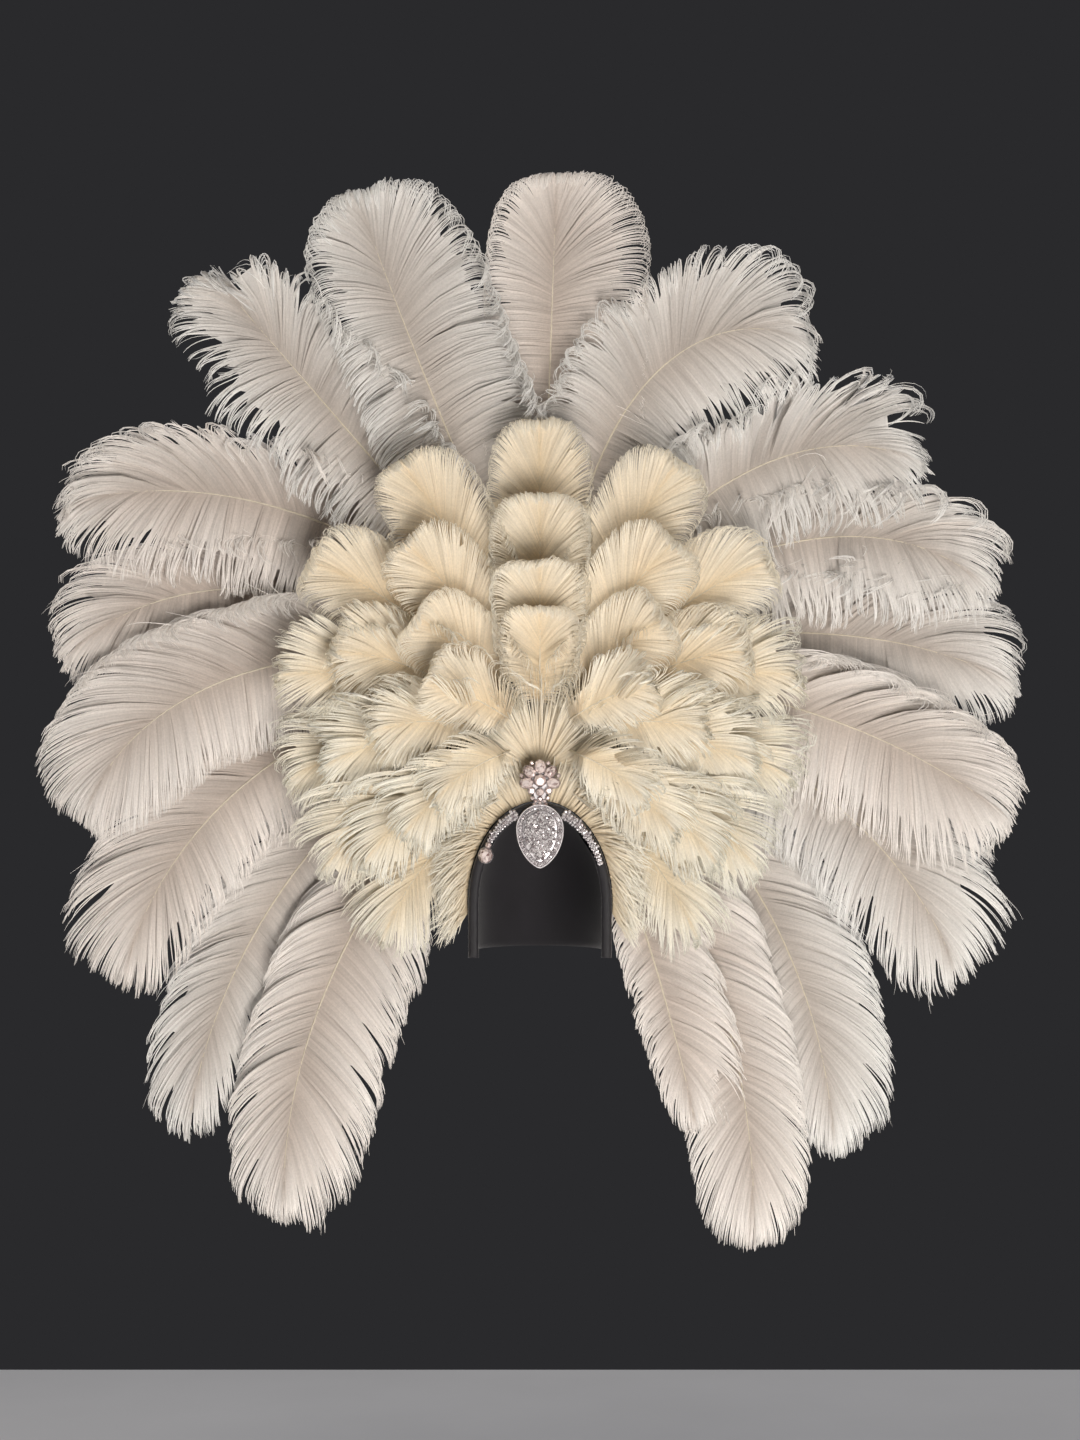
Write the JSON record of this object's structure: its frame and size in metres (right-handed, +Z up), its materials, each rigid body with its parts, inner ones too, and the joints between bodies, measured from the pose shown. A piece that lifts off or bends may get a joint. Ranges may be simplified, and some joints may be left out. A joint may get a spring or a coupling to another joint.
{
  "type": "feather carnival headdress",
  "caption": "Worn headdress: black cap with padded rim and plume board, fan of large white ostrich plumes, tiers of short ivory feathers, clear stone ornament over the forehead",
  "frame": {"origin": "middle of the head opening, at the head's widest level, where the cap sits on the head", "axes": "+Z up along the tallest extent, -Y the way the wearer faces, +X to the right of someone who looks at its front"},
  "size_m": [1.2135, 0.2916, 1.3073],
  "materials": {
    "cap_cloth": "matte black stretch cloth",
    "rim_cloth": "black satin over a padded wire",
    "board_cloth": "black felt",
    "white_feather": "bleached ostrich feather, soft matte",
    "ivory_feather": "ivory ostrich feather, soft matte",
    "crystal_in_silver": "clear faceted stones in bright silver settings"
  },
  "bodies": {
    "root": {"cap": "cap_cloth", "feather_a_01": "ivory_feather", "feather_a_02": "ivory_feather", "feather_a_03": "ivory_feather", "feather_a_04": "ivory_feather", "feather_a_05": "ivory_feather", "feather_a_06": "ivory_feather", "feather_a_07": "ivory_feather", "feather_a_08": "ivory_feather", "feather_a_09": "ivory_feather", "feather_a_10": "ivory_feather", "feather_a_11": "ivory_feather", "feather_a_12": "ivory_feather", "feather_a_13": "ivory_feather", "feather_b_01": "ivory_feather", "feather_b_02": "ivory_feather", "feather_b_03": "ivory_feather", "feather_b_04": "ivory_feather", "feather_b_05": "ivory_feather", "feather_b_06": "ivory_feather", "feather_b_07": "ivory_feather", "feather_b_08": "ivory_feather", "feather_b_09": "ivory_feather", "feather_c_01": "ivory_feather", "feather_c_02": "ivory_feather", "feather_c_03": "ivory_feather", "feather_c_04": "ivory_feather", "feather_c_05": "ivory_feather", "feather_c_06": "ivory_feather", "feather_c_07": "ivory_feather", "feather_d_01": "ivory_feather", "feather_d_02": "ivory_feather", "feather_d_03": "ivory_feather", "feather_d_04": "ivory_feather", "feather_d_05": "ivory_feather", "front_rim": "rim_cloth", "left_drop": "crystal_in_silver", "left_spray": "crystal_in_silver", "pear_pendant": "crystal_in_silver", "plume_board": "board_cloth", "plume_left_1": "white_feather", "plume_left_2": "white_feather", "plume_left_3": "white_feather", "plume_left_4": "white_feather", "plume_left_5": "white_feather", "plume_left_6": "white_feather", "plume_left_7": "white_feather", "plume_left_8": "white_feather", "plume_right_1": "white_feather", "plume_right_2": "white_feather", "plume_right_3": "white_feather", "plume_right_4": "white_feather", "plume_right_5": "white_feather", "plume_right_6": "white_feather", "plume_right_7": "white_feather", "plume_right_8": "white_feather", "plume_right_9": "white_feather", "plume_top": "white_feather", "right_spray": "crystal_in_silver", "top_brooch": "crystal_in_silver"}
  },
  "joints": []
}
